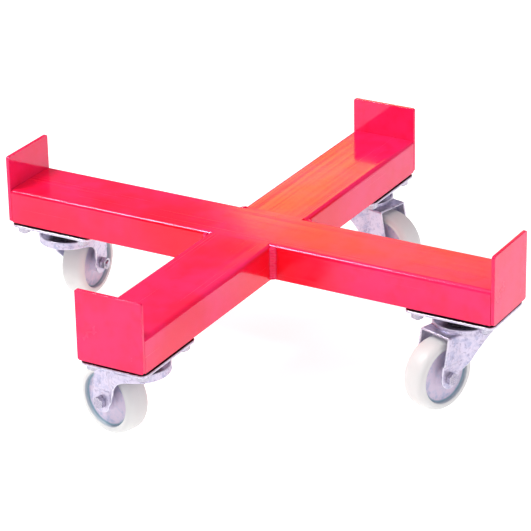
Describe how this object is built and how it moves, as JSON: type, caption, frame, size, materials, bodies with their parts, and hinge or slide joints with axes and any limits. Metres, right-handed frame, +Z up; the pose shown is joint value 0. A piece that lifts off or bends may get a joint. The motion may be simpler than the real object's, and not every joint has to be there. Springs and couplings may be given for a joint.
{
  "type": "drum dolly",
  "caption": "Low cross-shaped steel dolly for a round drum, with an upright stop plate at each arm end and swivel plate casters with plastic wheels.",
  "frame": {"origin": "on the floor, under the centre of the cross", "axes": "+Z up; +X along the long channel; +Y along the short channels"},
  "size_m": [0.612, 0.612, 0.189],
  "materials": {
    "red_paint": "gloss paint",
    "zinc": "bright zinc plate, lightly mottled",
    "steel": "plain machined steel",
    "nylon": "satin moulded nylon"
  },
  "bodies": {
    "frame": {"long_channel": "red_paint", "front_channel": "red_paint", "back_channel": "red_paint", "end_plate_right": "red_paint", "caster_pad_right": "red_paint", "top_plate_right": "zinc", "king_pin_right": "steel", "ball_race_right": "steel", "plate_bolt_right_1": "zinc", "plate_bolt_right_2": "zinc", "plate_bolt_right_3": "zinc", "plate_bolt_right_4": "zinc", "end_plate_back": "red_paint", "caster_pad_back": "red_paint", "top_plate_back": "zinc", "king_pin_back": "steel", "ball_race_back": "steel", "plate_bolt_back_1": "zinc", "plate_bolt_back_2": "zinc", "plate_bolt_back_3": "zinc", "plate_bolt_back_4": "zinc", "end_plate_left": "red_paint", "caster_pad_left": "red_paint", "top_plate_left": "zinc", "king_pin_left": "steel", "ball_race_left": "steel", "plate_bolt_left_1": "zinc", "plate_bolt_left_2": "zinc", "plate_bolt_left_3": "zinc", "plate_bolt_left_4": "zinc", "end_plate_front": "red_paint", "caster_pad_front": "red_paint", "top_plate_front": "zinc", "king_pin_front": "steel", "ball_race_front": "steel", "plate_bolt_front_1": "zinc", "plate_bolt_front_2": "zinc", "plate_bolt_front_3": "zinc", "plate_bolt_front_4": "zinc"},
    "swivel_right": {"fork_right": "zinc", "axle_bolt_right": "zinc", "axle_nut_right": "zinc", "axle_sleeve_right": "steel"},
    "roller_right": {"wheel_right": "nylon"},
    "swivel_back": {"fork_back": "zinc", "axle_bolt_back": "zinc", "axle_nut_back": "zinc", "axle_sleeve_back": "steel"},
    "roller_back": {"wheel_back": "nylon"},
    "swivel_left": {"fork_left": "zinc", "axle_bolt_left": "zinc", "axle_nut_left": "zinc", "axle_sleeve_left": "steel"},
    "roller_left": {"wheel_left": "nylon"},
    "swivel_front": {"fork_front": "zinc", "axle_bolt_front": "zinc", "axle_nut_front": "zinc", "axle_sleeve_front": "steel"},
    "roller_front": {"wheel_front": "nylon"}
  },
  "joints": [
    {"name": "right_swivel", "type": "hinge", "parent": "frame", "child": "swivel_right", "pos_m": [0.252, 0, 0.0895], "axis": [0, 0, 1], "continuous": true},
    {"name": "right_wheel_spin", "type": "hinge", "parent": "swivel_right", "child": "roller_right", "pos_m": [0.23947, -0.03746, 0.04], "axis": [0.9483, -0.3173, 0], "continuous": true},
    {"name": "back_swivel", "type": "hinge", "parent": "frame", "child": "swivel_back", "pos_m": [0, 0.252, 0.0895], "axis": [0, 0, 1], "continuous": true},
    {"name": "back_wheel_spin", "type": "hinge", "parent": "swivel_back", "child": "roller_back", "pos_m": [0.03849, 0.24311, 0.04], "axis": [0.225, 0.9744, 0], "continuous": true},
    {"name": "left_swivel", "type": "hinge", "parent": "frame", "child": "swivel_left", "pos_m": [-0.252, 0, 0.0895], "axis": [0, 0, 1], "continuous": true},
    {"name": "left_wheel_spin", "type": "hinge", "parent": "swivel_left", "child": "roller_left", "pos_m": [-0.25407, 0.03945, 0.04], "axis": [-0.9986, -0.0523, 0], "continuous": true},
    {"name": "front_swivel", "type": "hinge", "parent": "frame", "child": "swivel_front", "pos_m": [0, -0.252, 0.0895], "axis": [0, 0, 1], "continuous": true},
    {"name": "front_wheel_spin", "type": "hinge", "parent": "swivel_front", "child": "roller_front", "pos_m": [-0.03833, -0.24244, 0.04], "axis": [-0.2419, -0.9703, 0], "continuous": true}
  ]
}
